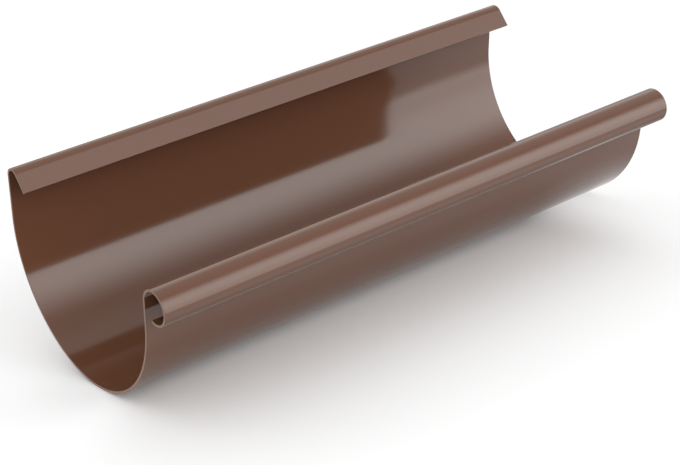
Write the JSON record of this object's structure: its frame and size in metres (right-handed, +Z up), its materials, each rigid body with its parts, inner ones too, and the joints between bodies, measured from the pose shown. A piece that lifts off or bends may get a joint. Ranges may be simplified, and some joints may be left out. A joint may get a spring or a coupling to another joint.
{
  "type": "gutter section",
  "caption": "Cut length of half-round eaves gutter in brown painted steel, with a rolled front bead and a back wall folded into a lip; carries rainwater from the roof edge.",
  "frame": {"origin": "on the floor, under the middle of the gutter's box, as it lies unheld on its round bottom", "axes": "+X along the gutter, +Y towards the back wall that faces the house, +Z up from the floor; the section is rolled about X by 12.96 degrees, bead side down, because it comes to rest there"},
  "size_m": [0.325, 0.1466, 0.106],
  "materials": {
    "brown_paint": "glossy chocolate-brown coil coating on both faces, bare of marks"
  },
  "bodies": {
    "root": {"gutter_channel": "brown_paint"}
  },
  "joints": []
}
